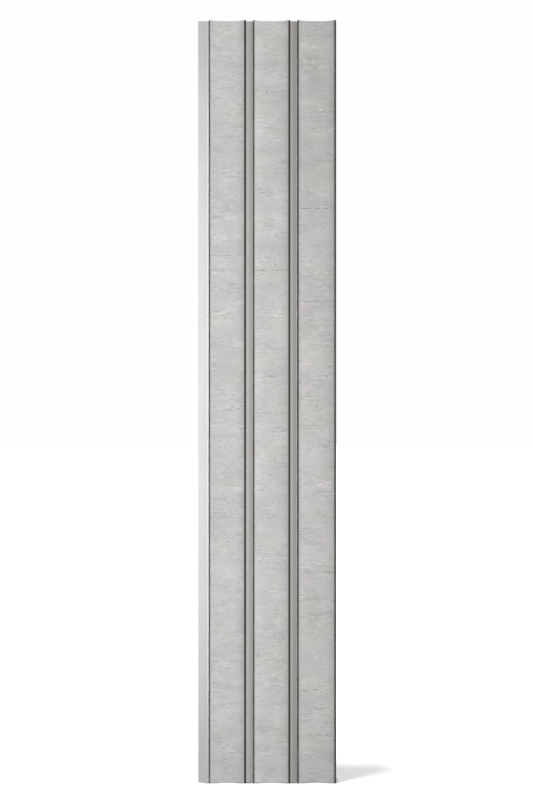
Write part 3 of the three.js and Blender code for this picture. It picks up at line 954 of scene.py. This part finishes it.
def stave_tree(name, lines):
    tree, wiring, given = new_tree(name, STAVE_SIZES)
    place = wiring.node("GeometryNodeInputPosition").outputs[0]
    side, _, level = wiring.node("ShaderNodeSeparateXYZ", Vector=place).outputs
    face, arris = [
        wiring.node("GeometryNodeInputNamedAttribute", Name=label).outputs["Attribute"]
        for label in ("face", "arris")
    ]
    from_middle = wiring.math("SUBTRACT", side, given["Middle"])
    across = wiring.math("DIVIDE", wiring.math("ABSOLUTE", from_middle), given["Half flat"])
    bowl = wiring.math("SUBTRACT", 1.0, wiring.math("POWER", across, given["Hollow power"]))
    hollow = wiring.product(bowl, given["Hollow"], face)
    from_end = wiring.math("MINIMUM", level, wiring.math("SUBTRACT", HEIGHT, level))
    near = wiring.math("SUBTRACT", 1.0, wiring.math("DIVIDE", from_end, given["End radius"]))
    short = wiring.math("MAXIMUM", near, 0.0)
    chord = wiring.math("SQRT", wiring.math("SUBTRACT", 1.0, wiring.product(short, short)))
    front = wiring.math("MAXIMUM", face, arris)
    turned = wiring.product(wiring.math("SUBTRACT", 1.0, chord), given["End radius"], front)
    streaky = wiring.product(streaks(wiring, place), given["Streak depth"], face)
    torn = wiring.product(torn_lines(wiring, place, lines), given["Line depth"], face)
    nicked = wiring.ramp(wiring.noise(place, NICK, 3.0, 11.0), 0.58, 0.72)
    nicks = wiring.product(nicked, given["Nick depth"], arris)
    inwards = wiring.total(hollow, turned, streaky, torn, nicks)
    sideways = wiring.product(wiring.math("SIGN", from_middle), nicks, -1.0)
    offset = wiring.filled("ShaderNodeCombineXYZ", {}, (sideways, inwards)).outputs[0]
    moved = wiring.node("GeometryNodeSetPosition", Geometry=given["Geometry"], Offset=offset)
    end_tree(wiring, moved.outputs[0], given)
    return tree


print(f"hollow {STAVE_SIZES['Hollow'] / MM:.1f} mm deep")

# %% Make the staves
WIRE_HOLE = 3.8 * MM
SOCKET_HOLE = 10.6 * MM
PAST = 2 * MM  # how far a drill starts outside the face that it enters
SOCKET_CLEARANCE = 0.3 * MM


def stave_drills(name):
    rods = []
    for side in ("left", "right"):
        wire = middle_of(f"stave_{name}_wire_{side}")
        rods.append(((wire.x, wire.y, -PAST), (wire.x, wire.y, HEIGHT + PAST), WIRE_HOLE))
    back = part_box("stave_left")[1].y + PAST
    for level in LEVELS:
        node = f"socket_{name}_{level}"
        centre = middle_of(node)
        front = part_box(node)[0].y - SOCKET_CLEARANCE
        rods.append(hole(centre.x, centre.z, front, back, SOCKET_HOLE))
    return rods


for name in STAVE_NAMES:
    low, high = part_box(f"stave_{name}")
    width = high.x - low.x
    middle_x = (low.x + high.x) / 2
    stave = stave_blank(f"{name}_stave", middle_x, width, name == "right")
    sizes = {**STAVE_SIZES, "Middle": middle_x, "Half flat": width / 2 - ARRIS_RADIUS}
    run_tree(stave, stave_tree(f"{name}_stave", TORN_LINES[name]), sizes, CONCRETE_FINISH[name])
    drill(stave, stave_drills(name))
    hand_over(stave, "concrete", CONCRETE_FINISH[name], f"stave_{name}")

# %% [markdown]
# ## Drawn and moulded lengths
# Rails, seals and channels all keep one cross-section along their length. A section is a list of
# corners, and real corners are never sharp, so a helper rounds every corner by a radius that its
# two sides have room for. The rounded outline is filled and pulled out to length, which closes
# the piece at both ends, and a hollow is a second outline inside the first.

# %% Section helpers
CORNER_STEPS = 4
TIGHT = math.radians(20)


def turn_at(before, here, after):
    """The angle that the outline turns through at a corner, positive to the left."""
    first = (here[0] - before[0], here[1] - before[1])
    second = (after[0] - here[0], after[1] - here[1])
    cross = first[0] * second[1] - first[1] * second[0]
    return math.atan2(cross, first[0] * second[0] + first[1] * second[1])


def rounded(outline, outside, inside=None):
    """The outline with its corners rounded, by one radius outside and another inside."""
    inside = outside if inside is None else inside
    around = sum(turn_at(outline[i - 2], outline[i - 1], outline[i]) for i in range(len(outline)))
    points = []
    for i, here in enumerate(outline):
        before = outline[i - 1]
        after = outline[(i + 1) % len(outline)]
        turn = turn_at(before, here, after)
        if abs(turn) < TIGHT:
            points.append(here)
            continue
        radius = outside if turn * around > 0 else inside
        room = 0.45 * min(math.dist(before, here), math.dist(here, after))
        reach = min(radius * math.tan(abs(turn) / 2), room)
        ends = []
        for other in (before, after):
            share = reach / math.dist(here, other)
            ends.append([h + (o - h) * share for h, o in zip(here, other)])
        for step in range(CORNER_STEPS + 1):
            t = step / CORNER_STEPS
            weights = ((1 - t) ** 2, 2 * t * (1 - t), t * t)
            corners = (ends[0], here, ends[1])
            points.append(tuple(sum(w * c[k] for w, c in zip(weights, corners)) for k in (0, 1)))
    return points


print(f"corners rounded in {CORNER_STEPS} steps")


# %% Drawn lengths
def drawn_length(name, outlines, place):
    """A length of one section. place turns (across, through, share of the length) to a point."""
    built = bmesh.new()
    for outline in outlines:
        corners = [built.verts.new(place(a, b, 0.0)) for a, b in outline]
        for first, second in zip(corners, corners[1:] + corners[:1]):
            built.edges.new((first, second))
    bmesh.ops.triangle_fill(built, edges=built.edges[:], use_beauty=True)
    start = {corner: corner.co.copy() for corner in built.verts}
    pulled = bmesh.ops.extrude_face_region(built, geom=built.faces[:])
    along = Vector(place(0, 0, 1.0)) - Vector(place(0, 0, 0.0))
    moved = [item for item in pulled["geom"] if isinstance(item, bmesh.types.BMVert)]
    bmesh.ops.translate(built, verts=moved, vec=along)
    bmesh.ops.recalc_face_normals(built, faces=built.faces[:])
    mesh = bpy.data.meshes.new(name)
    built.to_mesh(mesh)
    built.free()
    return add_object(name, mesh)


def upright(x, depth, share):
    """Sections of upright pieces are x, and depth behind the stave edges."""
    return x, FRONT + depth, HEIGHT * share


print(f"upright pieces are {HEIGHT:.3f} m long")

# %% [markdown]
# ## Aluminium rails
# From the front a rail is only a narrow satin bar: a shallow cove, then a low bead that catches
# the light, then a flat land beside the right edge. Behind the bar it is a hollow box with fins
# that reach into the staves' kerfs, a back flange that laps behind them, and a thick back wall
# for the bolts. The first rail's bar is wide and flat, because it is also the flange that the
# next panel laps over. The last rail has no bar, and hides behind the last stave's lip.

# %% Rail sizes
BAR_SETBACK = 12 * MM
BAR_WALL = 3 * MM
COVE = 1.4 * MM
COVE_STEPS = 14
BEAD_RISE = 0.38 * MM
BEAD_STEPS = 10
BOX_WALL = 2.5 * MM
FRONT_WALL = 3.5 * MM
SCREW_WALL = 8 * MM
SEAL_LEDGE = 2.2 * MM
FIN = (27 * MM, 30 * MM)
FIN_REACH = 8 * MM
BACK_FLANGE = 60.3 * MM
BACK_FLANGE_LAP = 13 * MM
RAIL_CORNER = 0.5 * MM
TAPPING = 3.3 * MM
RAIL_GAP = 0.3 * MM


def bar_face(left, right, cove):
    """The bar's front from left to right: a cove that may be flat, a raised bead and a land."""
    cove_end = right - BEAD_LAND - BEAD_WIDTH
    steps = COVE_STEPS if cove else 1
    face = []
    for i in range(steps + 1):
        share = i / steps
        sink = cove * math.sin(math.pi * share)
        face.append((left + (cove_end - left) * share, BAR_SETBACK + sink))
    for i in range(1, BEAD_STEPS + 1):
        share = i / BEAD_STEPS
        rise = BEAD_RISE * math.sin(math.pi * share)
        face.append((cove_end + BEAD_WIDTH * share, BAR_SETBACK - rise))
    face.append((right, BAR_SETBACK))
    return face


print(f"bead {BEAD_WIDTH / MM:.1f} mm wide, {BEAD_RISE / MM:.2f} mm high")


# %% Rail section
def rail_outline(bar, cove, box, front, fins, flange, back):
    """A rail's outline. bar, box, fins and flange are (left, right), from the panel's middle."""
    if bar:
        wall = BAR_SETBACK + BAR_WALL
        right = [*bar_face(*bar, cove), (bar[1], wall), (box[1], wall)]
        left = [(box[0], wall), (bar[0], wall)]
    else:
        right = [(box[0], front), (box[1], front)]
        left = []
    if fins[1] > box[1]:
        right += [(box[1], FIN[0]), (fins[1], FIN[0]), (fins[1], FIN[1]), (box[1], FIN[1])]
    if flange[1] > box[1]:
        right += [(box[1], BACK_FLANGE), (flange[1], BACK_FLANGE)]
    if fins[0] < box[0]:
        left = [(box[0], FIN[1]), (fins[0], FIN[1]), (fins[0], FIN[0]), (box[0], FIN[0]), *left]
    if flange[0] < box[0]:
        left = [(flange[0], BACK_FLANGE), (box[0], BACK_FLANGE), *left]
    return [*right, (flange[1], back), (flange[0], back), *left]


def rail_hollow(box, front, back):
    left, right = box[0] + BOX_WALL, box[1] - BOX_WALL
    near, far = front + FRONT_WALL, back - SCREW_WALL
    return [(left, near), (right, near), (right, far), (left, far)]


print("section of a rail ready")

# %% Rail places
rail_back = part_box("groove_rail_left")[1].y - FRONT
box_width = BAR_WIDTH - 2 * SEAL_LEDGE


def box_of(node):
    """Left and right sides of the rail's box, which its bolts share the middle of."""
    centre = middle_of(f"{node}_bolt_lower").x
    return centre - box_width / 2, centre + box_width / 2


def rails():
    """For each rail, its bar, cove, box, front, fins and back flange."""
    found = {}
    pairs = (("groove_rail_left", "left", "middle"), ("groove_rail_right", "middle", "right"))
    for node, before, after in pairs:
        low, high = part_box(node)
        box = box_of(node)
        bar = (box[0] - SEAL_LEDGE, box[1] + SEAL_LEDGE)
        left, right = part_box(f"stave_{before}")[1].x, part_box(f"stave_{after}")[0].x
        fins = (left - FIN_REACH, right + FIN_REACH)
        found[node] = (bar, COVE, box, BAR_SETBACK, fins, (low.x, high.x))
    low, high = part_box("joint_rail_left")
    box = box_of("joint_rail_left")
    bar = (low.x, box[1] + SEAL_LEDGE)
    fins = (box[0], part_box("stave_left")[0].x + FIN_REACH)
    found["joint_rail_left"] = (bar, 0.0, box, BAR_SETBACK, fins, (box[0], high.x))
    low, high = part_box("edge_rail_right")
    front = low.y - FRONT
    box = (low.x + BACK_FLANGE_LAP, high.x)
    fins = (box[0] - RAIL_GAP - FIN_REACH, box[1])
    found["edge_rail_right"] = (None, 0.0, box, front, fins, (low.x, high.x))
    return found


print(f"rail boxes {box_width / MM:.1f} mm wide")

# %% Make the rails
for node, (bar, cove, box, front, fins, flange) in rails().items():
    outline = rounded(rail_outline(bar, cove, box, front, fins, flange, rail_back), RAIL_CORNER)
    hollow = rounded(rail_hollow(box, front, rail_back), RAIL_CORNER)
    rail = drawn_length(node.replace("rail", "extrusion"), [outline, hollow], upright)
    back = FRONT + rail_back
    centre = (box[0] + box[1]) / 2
    heights = [middle_of(f"cross_channel_{level}").z for level in LEVELS]
    wall_front = back - SCREW_WALL - PAST
    drill(rail, [hole(centre, z, wall_front, back + PAST, TAPPING) for z in heights])
    hand_over(rail, "aluminium", RAIL_FINISH[node], node)

# %% [markdown]
# ## Rubber seals
# A seal shows only its round nose between a stave and a bar. Below the nose it is a straight web
# that ends in a wider foot, held behind the bar's overhang. The last seal clips into a kerf in
# the lip by a barb, and the next panel's flange closes against its back.

# %% Seal sections
SEAL_GAP = 0.3 * MM
SEAL_NOSE = 1 * MM
NOSE_STEPS = 12
SEAL_FOOT = (15.3 * MM, 26.7 * MM)
BARB = (5.2 * MM, 7.6 * MM)
BARB_REACH = 4.6 * MM
SEAL_CORNER = 0.5 * MM


def seal_nose(left, right):
    radius = (right - left) / 2
    return arc((left + right) / 2, SEAL_NOSE + radius, radius, 2, 4, NOSE_STEPS)


def seal_outline(left, right, foot):
    """A seal from left to right, with its foot spread by foot, to the left where that is < 0."""
    low = min(left, left + foot)
    high = max(right, right + foot)
    front, back = SEAL_FOOT
    right_side = [(right, front), (high, front)] if foot > 0 else []
    left_side = [(low, front), (left, front)] if foot < 0 else []
    return [*seal_nose(left, right), *right_side, (high, back), (low, back), *left_side]


def edge_seal_outline(left, right):
    tip = left - SEAL_GAP - BARB_REACH
    barb = [(left, BARB[1]), (tip, BARB[1]), (tip, BARB[0]), (left, BARB[0])]
    return [*seal_nose(left, right), (right, LIP), (left, LIP), *barb]


print("sections of the seals ready")


# %% Make the seals
def make_seal(node, outline):
    name = node.replace("stave_", "") + "_strip"
    piece = drawn_length(name, [rounded(outline, SEAL_CORNER)], upright)
    kind = node.split("_")[2]
    hand_over(piece, "seal_rubber", RUBBER[kind], node)


for name in STAVE_NAMES:
    low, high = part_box(f"stave_{name}_thin_seal")
    make_seal(f"stave_{name}_thin_seal", seal_outline(low.x + SEAL_LEDGE, high.x, -SEAL_LEDGE))
for name in ("left", "middle"):
    low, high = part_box(f"stave_{name}_wide_seal")
    make_seal(f"stave_{name}_wide_seal", seal_outline(low.x, high.x - SEAL_LEDGE, SEAL_LEDGE))
low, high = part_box("stave_right_edge_seal")
make_seal("stave_right_edge_seal", edge_seal_outline(low.x + SEAL_GAP + BARB_REACH, high.x))

# %% [markdown]
# ## Channels across the back
# A channel is bent from one strip of steel, so its outer corners are rounder than its inner ones
# by the thickness of the strip. Its open side faces backwards, and both of its edges turn in,
# where a bracket's nut would hook behind them. The web is drilled for every bolt.

# %% Channel section
STRIP = 2.5 * MM
CHANNEL_LIP = 9.5 * MM
LIP_RETURN = 7 * MM
BEND_OUTSIDE = 3.4 * MM
BEND_INSIDE = 1 * MM
STAVE_BOLT_HOLE = 6.6 * MM
RAIL_BOLT_HOLE = 3.6 * MM


def channel_outline(depth, half):
    """Depth behind the channel's front face, and height from its middle."""
    slot = half - CHANNEL_LIP
    upper = [
        (depth, half),
        (depth, slot),
        (depth - LIP_RETURN, slot),
        (depth - LIP_RETURN, slot + STRIP),
        (depth - STRIP, slot + STRIP),
        (depth - STRIP, half - STRIP),
        (STRIP, half - STRIP),
    ]
    lower = [(y, -z) for y, z in reversed(upper)]
    return [(0, half), *upper, *lower, (0, -half)]


print(f"channels bent from {STRIP / MM:.1f} mm strip")

# %% Make the channels
RAIL_NAMES = tuple(rails())

for level in LEVELS:
    low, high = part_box(f"cross_channel_{level}")
    centre = (low + high) / 2
    section = channel_outline(high.y - low.y, (high.z - low.z) / 2)
    outline = rounded(section, BEND_OUTSIDE, BEND_INSIDE)
    length = high.x - low.x

    def crosswise(y, z, share, low=low, centre=centre, length=length):
        return (low.x + length * share, low.y + y, centre.z + z)

    channel = drawn_length(f"{level}_strut", [outline], crosswise)
    rods = []
    for names, radius in ((STAVE_NAMES, STAVE_BOLT_HOLE), (RAIL_NAMES, RAIL_BOLT_HOLE)):
        for name in names:
            bolt = f"stave_bolt_{name}_{level}" if name in STAVE_NAMES else f"{name}_bolt_{level}"
            back = low.y + STRIP + PAST
            rods.append(hole(middle_of(bolt).x, centre.z, low.y - PAST, back, radius))
    drill(channel, rods)
    hand_over(channel, "galvanised_steel", GALVANISED, f"cross_channel_{level}")

# %% [markdown]
# ## Bolts
# Every bolt has a hexagon head whose corners are turned off to a cone, a washer face, and a
# thread. One tree builds the bolt from its named sizes, and puts a copy at every point of the
# mesh that it is given. The thread is a finely divided rod, whose radius rises and falls with
# height and angle together, which is what makes it a screw and not a stack of rings.

# %% Bolt tree
BOLT_SIZES = ("Shank radius", "Reach", "Head radius", "Head depth", "Pitch")
HEAD_FLANGE = 1.6 * MM
HEAD_FLANGE_EXTRA = 2 * MM
HEXAGON_LIFT = HEAD_FLANGE / 4
ROD_SIDES = 20
CROWN = 0.84  # radius of the flat on top of the head, as a share of the hexagon's
CONE_SLOPE = 1.73
THREAD_SHARE = 0.09
RINGS_PER_TURN = 6
WELD = 0.02 * MM  # corners nearer than this become one, so that no sliver of a face is left


def bolt_tree():
    tree, wiring, given = new_tree("hexagon_bolts", BOLT_SIZES)

    head, deep = given["Head radius"], given["Head depth"]
    past_top = wiring.total(deep, HEAD_FLANGE)  # so that no two flat faces share a plane
    hexagon = standing_cylinder(wiring, HEXAGON_LIFT, past_top, head, Vertices=6)
    crown = wiring.product(head, CROWN)
    skirt = wiring.math("MULTIPLY_ADD", deep, CONE_SLOPE, crown)
    cone_sizes = {"Vertices": ROUND, "Radius_Top": crown, "Radius_Bottom": skirt, "Depth": deep}
    cone = wiring.node("GeometryNodeMeshCone", None, **cone_sizes).outputs["Mesh"]
    capped = combined(wiring, "INTERSECT", hexagon, cone)
    washer = standing_cylinder(wiring, 0.0, HEAD_FLANGE, wiring.total(head, HEAD_FLANGE_EXTRA))
    reach = given["Reach"]
    turns = wiring.math("DIVIDE", reach, given["Pitch"])
    steps = wiring.math("ROUND", wiring.product(turns, float(RINGS_PER_TURN)))
    rod_sizes = {"Vertices": ROD_SIDES, "Side_Segments": steps}
    bottom = wiring.product(reach, -1.0)
    rod_length = wiring.total(reach, HEAD_FLANGE / 2)
    rod = standing_cylinder(wiring, bottom, rod_length, given["Shank radius"], **rod_sizes)
    place = wiring.node("GeometryNodeInputPosition").outputs[0]
    x, y, z = wiring.node("ShaderNodeSeparateXYZ", Vector=place).outputs
    angle = wiring.math("DIVIDE", wiring.math("ARCTAN2", y, x), 2 * math.pi)
    climb = wiring.math("ADD", wiring.math("DIVIDE", z, given["Pitch"]), angle)
    wave = wiring.math("PINGPONG", climb, 0.5)
    sink = wiring.math("MULTIPLY_ADD", wave, -2 * THREAD_SHARE, 1.0)
    plain = wiring.ramp(z, -2 * MM, -1 * MM)
    grip = wiring.math("MAXIMUM", sink, plain)
    thinner = wiring.filled("ShaderNodeCombineXYZ", {}, (grip, grip, 1.0)).outputs[0]
    threaded = wiring.vector("MULTIPLY", place, thinner)
    thread = wiring.node("GeometryNodeSetPosition", Geometry=rod, Position=threaded).outputs[0]
    whole = combined(wiring, "UNION", capped, washer, thread)
    bolt = wiring.node("GeometryNodeMergeByDistance", Geometry=whole, Distance=WELD).outputs[0]
    repeated(wiring, bolt, given, BACK_FIRST)
    return tree


print(f"{RINGS_PER_TURN} rings to a turn of thread")


# %% Make the bolts
def bearing_point(node, head_depth):
    low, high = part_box(node)
    return ((low.x + high.x) / 2, high.y - head_depth, (low.z + high.z) / 2)


def make_bolts(name, nodes, shank, head, head_depth, pitch, tree):
    places = [bearing_point(node, head_depth) for node in nodes]
    low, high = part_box(nodes[0])
    reach = high.y - head_depth - low.y
    sizes = dict(zip(BOLT_SIZES, (shank, reach, head, head_depth, pitch)))
    bolts = run_tree(points_piece(name, places), tree, sizes, ZINC)
    hand_over(bolts, "zinc_plate", ZINC, *nodes)


STAVE_BOLT = (6 * MM, 10.9 * MM, 7.5 * MM, 1.75 * MM)  # shank, head, head depth, pitch
RAIL_BOLT = (3 * MM, 6 * MM, 4.5 * MM, 1 * MM)
BOLTS = bolt_tree()
stave_bolts = [f"stave_bolt_{name}_{level}" for name in STAVE_NAMES for level in LEVELS]
rail_bolts = [f"{name}_bolt_{level}" for name in RAIL_NAMES for level in LEVELS]
make_bolts("stave_bolts", stave_bolts, *STAVE_BOLT, BOLTS)
make_bolts("rail_bolts", rail_bolts, *RAIL_BOLT, BOLTS)

# %% [markdown]
# ## Sockets
# A socket is a blind threaded sleeve, cast into the back of the stave. Its collar stands out of
# the concrete and fills the gap to the channel, so that tightening the bolt clamps steel on
# steel. The tree joins a barrel and a collar and drills them, then repeats them at every place.

# %% Socket tree
SOCKET_SIZES = ("Barrel radius", "Collar radius", "Bore", "Length", "Collar depth", "Floor")


def socket_tree():
    tree, wiring, given = new_tree("sockets", SOCKET_SIZES)

    length = given["Length"]
    barrel_length = wiring.math("SUBTRACT", length, 1 * MM)
    barrel = standing_cylinder(wiring, 0.0, barrel_length, given["Barrel radius"])
    collar_low = wiring.math("SUBTRACT", length, given["Collar depth"])
    collar = standing_cylinder(wiring, collar_low, given["Collar depth"], given["Collar radius"])
    bore = standing_cylinder(wiring, given["Floor"], length, given["Bore"])
    body = combined(wiring, "UNION", barrel, collar)
    repeated(wiring, combined(wiring, "DIFFERENCE", body, bore), given, BACK_FIRST)
    return tree


print(f"socket sizes: {', '.join(SOCKET_SIZES)}")

# %% Make the sockets
SOCKET_BORE = 6.3 * MM
SOCKET_BARREL = 10.3 * MM
SOCKET_FLOOR = 4 * MM
sockets = [f"socket_{name}_{level}" for name in STAVE_NAMES for level in LEVELS]
low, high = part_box(sockets[0])
seats = [(middle_of(node).x, low.y, middle_of(node).z) for node in sockets]
length = high.y - low.y
collar_radius = (high.x - low.x) / 2
collar_depth = high.y - FRONT - BACK_FLANGE
values = (SOCKET_BARREL, collar_radius, SOCKET_BORE, length, collar_depth, SOCKET_FLOOR)
sizes = dict(zip(SOCKET_SIZES, values))
socket_piece = run_tree(points_piece("sockets", seats), socket_tree(), sizes, ZINC)
hand_over(socket_piece, "zinc_plate", ZINC, *sockets)

# %% [markdown]
# ## Wires
# Two steel wires run the length of every stave and hold it together if it cracks. Only their
# sawn ends show, a little below the ends of the concrete. The tree starts from a finely divided
# rod, presses a notch into it at regular steps so that concrete grips it, and puts a copy at
# every place.

# %% Wire tree
WIRE_SIZES = ("Radius", "Length", "Notch depth", "Notch step")
WIRE_RINGS = 482
WIRE_SIDES = 16


def wire_tree():
    tree, wiring, given = new_tree("wires", WIRE_SIZES)
    divisions = {"Vertices": WIRE_SIDES, "Side_Segments": WIRE_RINGS}
    sizes = {**divisions, "Radius": given["Radius"], "Depth": given["Length"]}
    bar = wiring.node("GeometryNodeMeshCylinder", None, **sizes).outputs["Mesh"]
    place = wiring.node("GeometryNodeInputPosition").outputs[0]
    z = wiring.height_of(place)
    wave = wiring.math("PINGPONG", z, wiring.product(given["Notch step"], 0.5))
    share = wiring.math("DIVIDE", wave, given["Notch step"])
    depth = wiring.math("DIVIDE", given["Notch depth"], given["Radius"])
    thin = wiring.math("SUBTRACT", 1.0, wiring.product(wiring.ramp(share, 0.3, 0.5), depth))
    across = wiring.filled("ShaderNodeCombineXYZ", {}, (thin, thin, 1.0)).outputs[0]
    pressed = wiring.vector("MULTIPLY", place, across)
    notched = wiring.node("GeometryNodeSetPosition", Geometry=bar, Position=pressed).outputs[0]
    repeated(wiring, notched, given)
    return tree


print(f"{WIRE_RINGS} rings along a wire")

# %% Make the wires
NOTCH_DEPTH = 0.25 * MM
NOTCH_STEP = 22 * MM
wires = [f"stave_{name}_wire_{side}" for name in STAVE_NAMES for side in ("left", "right")]
low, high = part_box(wires[0])
values = ((high.x - low.x) / 2, high.z - low.z, NOTCH_DEPTH, NOTCH_STEP)
places = [middle_of(node) for node in wires]
sizes = dict(zip(WIRE_SIZES, values))
wire_piece = run_tree(points_piece("wires", places), wire_tree(), sizes, WIRE)
hand_over(wire_piece, "wire_steel", WIRE, *wires)

# %% [markdown]
# Both boxes, the solid model's and that of the finer pieces, are gathered side by side. The
# finer pieces have to stay inside the solid model's box.

# %% Gather the sizes and finish
now_low, now_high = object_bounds()
sizes = {"cad": [list(cad_low), list(cad_high)], "visual": [list(now_low), list(now_high)]}
print(f"visual model {[round(b - a, 4) for a, b in zip(now_low, now_high)]} m")
